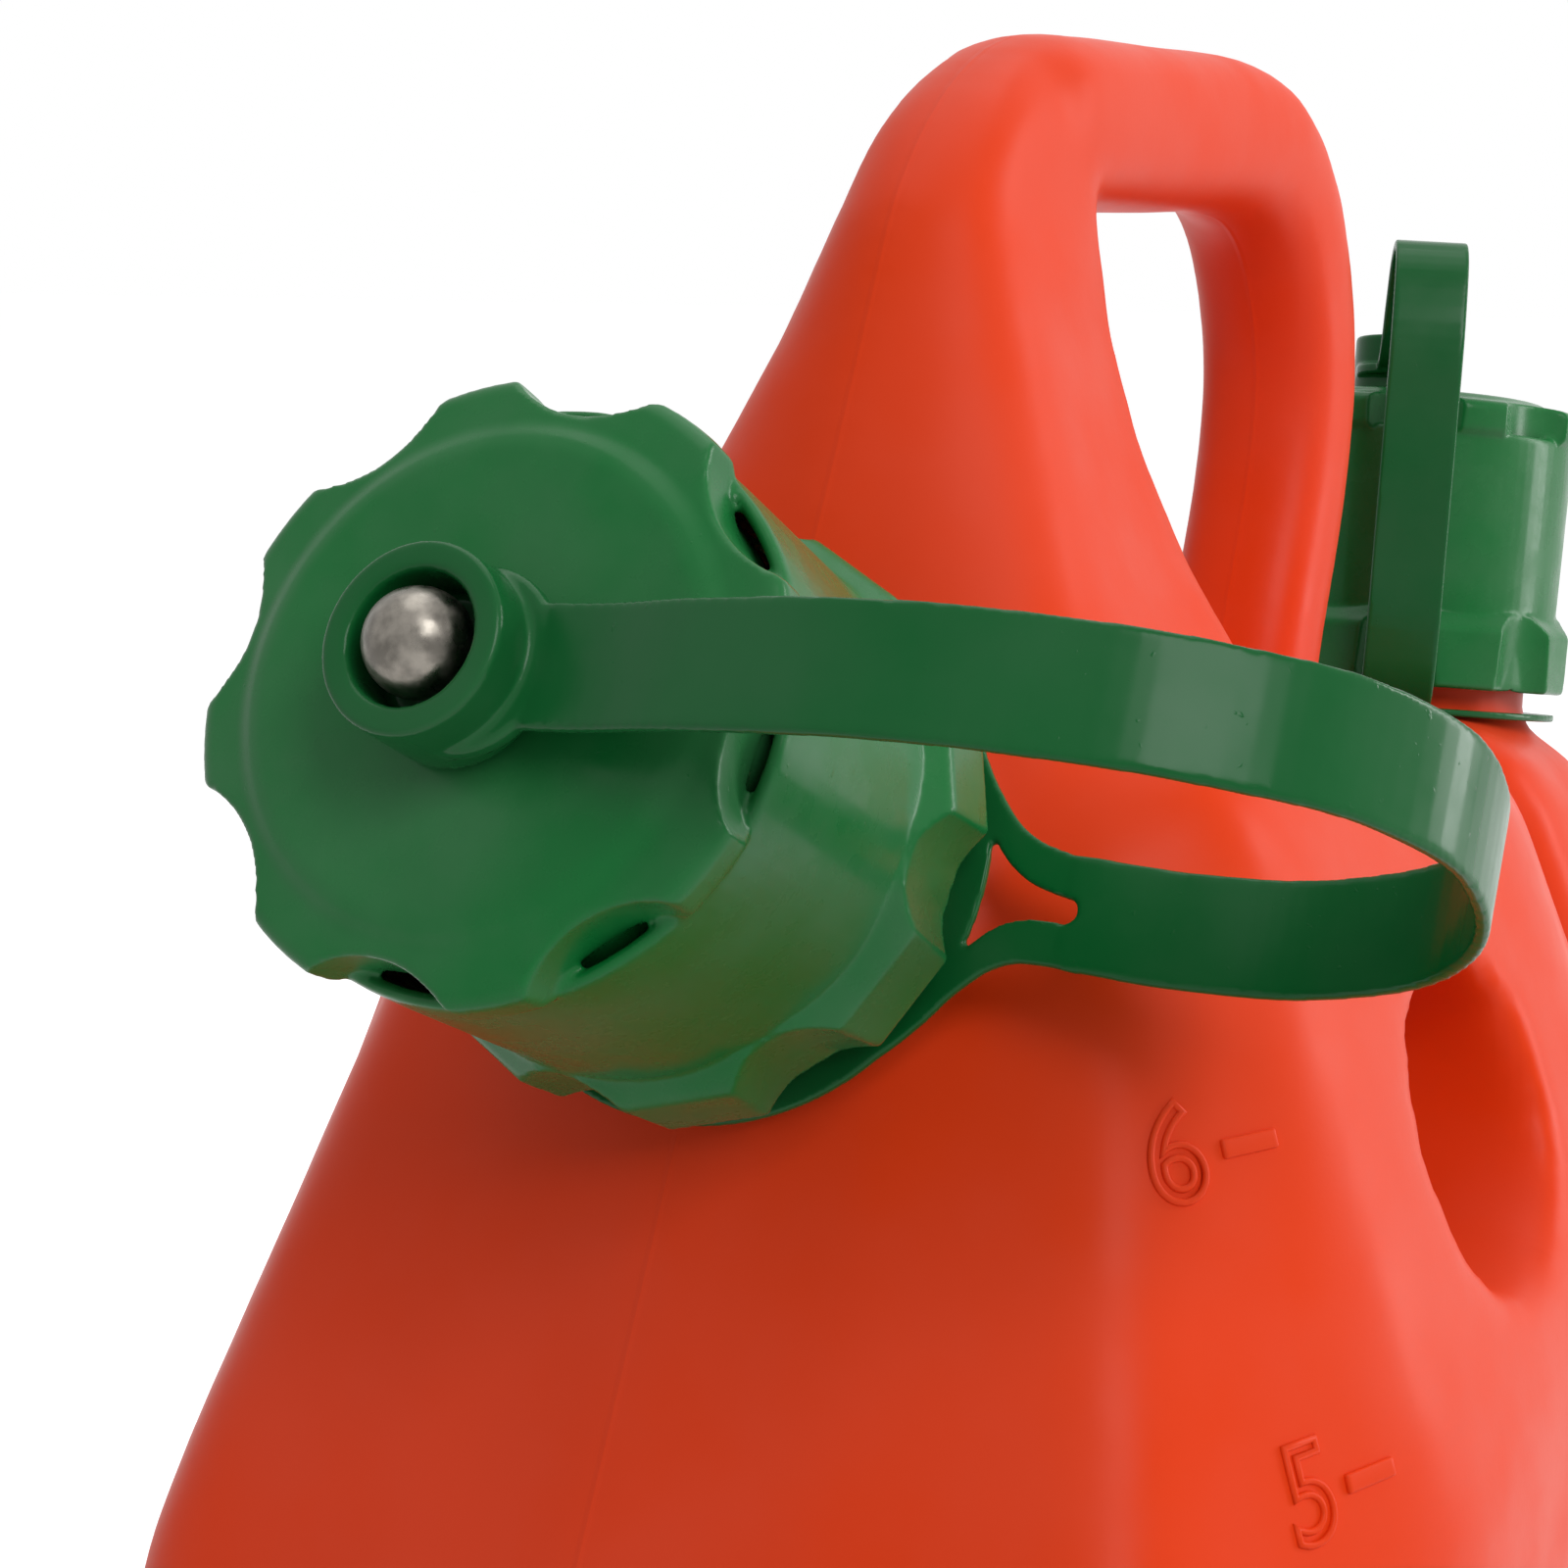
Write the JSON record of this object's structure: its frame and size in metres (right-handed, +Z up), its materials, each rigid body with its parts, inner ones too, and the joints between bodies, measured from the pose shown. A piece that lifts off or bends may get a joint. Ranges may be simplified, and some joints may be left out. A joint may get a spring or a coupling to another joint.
{
  "type": "dual fuel and oil can",
  "caption": "Blown plastic can with a fuel chamber and an oil chamber, a pouring handle, a through hole, and screw caps held by keeper straps.",
  "frame": {"origin": "middle of the face the can stands on", "axes": "+Z up, +X from the fuel chamber's neck end towards the oil chamber, -Y the side the fuel cap's strap loops out on"},
  "size_m": [0.3763, 0.178, 0.2842],
  "materials": {
    "orange_plastic": "satin blown plastic",
    "green_plastic": "satin moulded plastic",
    "black_rubber": "matte",
    "bright_steel": "dull bright steel"
  },
  "bodies": {
    "can": {"tank_body": "orange_plastic"},
    "fuel_keeper": {"fuel_cap_strap": "green_plastic", "fuel_cap_rivet": "bright_steel"},
    "fuel_closure": {"fuel_cap": "green_plastic", "fuel_cap_gasket": "black_rubber"},
    "oil_keeper": {"oil_cap_strap": "green_plastic", "oil_cap_rivet": "bright_steel"},
    "oil_closure": {"oil_cap": "green_plastic", "oil_cap_gasket": "black_rubber"}
  },
  "joints": [
    {"name": "fuel_lift", "type": "slide", "parent": "can", "child": "fuel_keeper", "axis": [-0.887, 0, 0.4617], "range_m": [0, 0.009], "deforming": ["fuel_cap_strap"]},
    {"name": "fuel_turn", "type": "hinge", "parent": "fuel_keeper", "child": "fuel_closure", "pos_m": [-0.18369, 0, 0.21601], "axis": [-0.887, 0, 0.4617], "range_deg": [0, 720]},
    {"name": "oil_lift", "type": "slide", "parent": "can", "child": "oil_keeper", "axis": [0.1564, 0, 0.9877], "range_m": [0, 0.009], "deforming": ["oil_cap_strap"]},
    {"name": "oil_turn", "type": "hinge", "parent": "oil_keeper", "child": "oil_closure", "pos_m": [0.13439, 0, 0.22566], "axis": [0.1564, 0, 0.9877], "range_deg": [0, 720]}
  ],
  "couplings": [
    {"joint": "fuel_turn", "follows": "fuel_lift", "rad_per_m": 1396.3},
    {"joint": "oil_turn", "follows": "oil_lift", "rad_per_m": 1396.3}
  ]
}
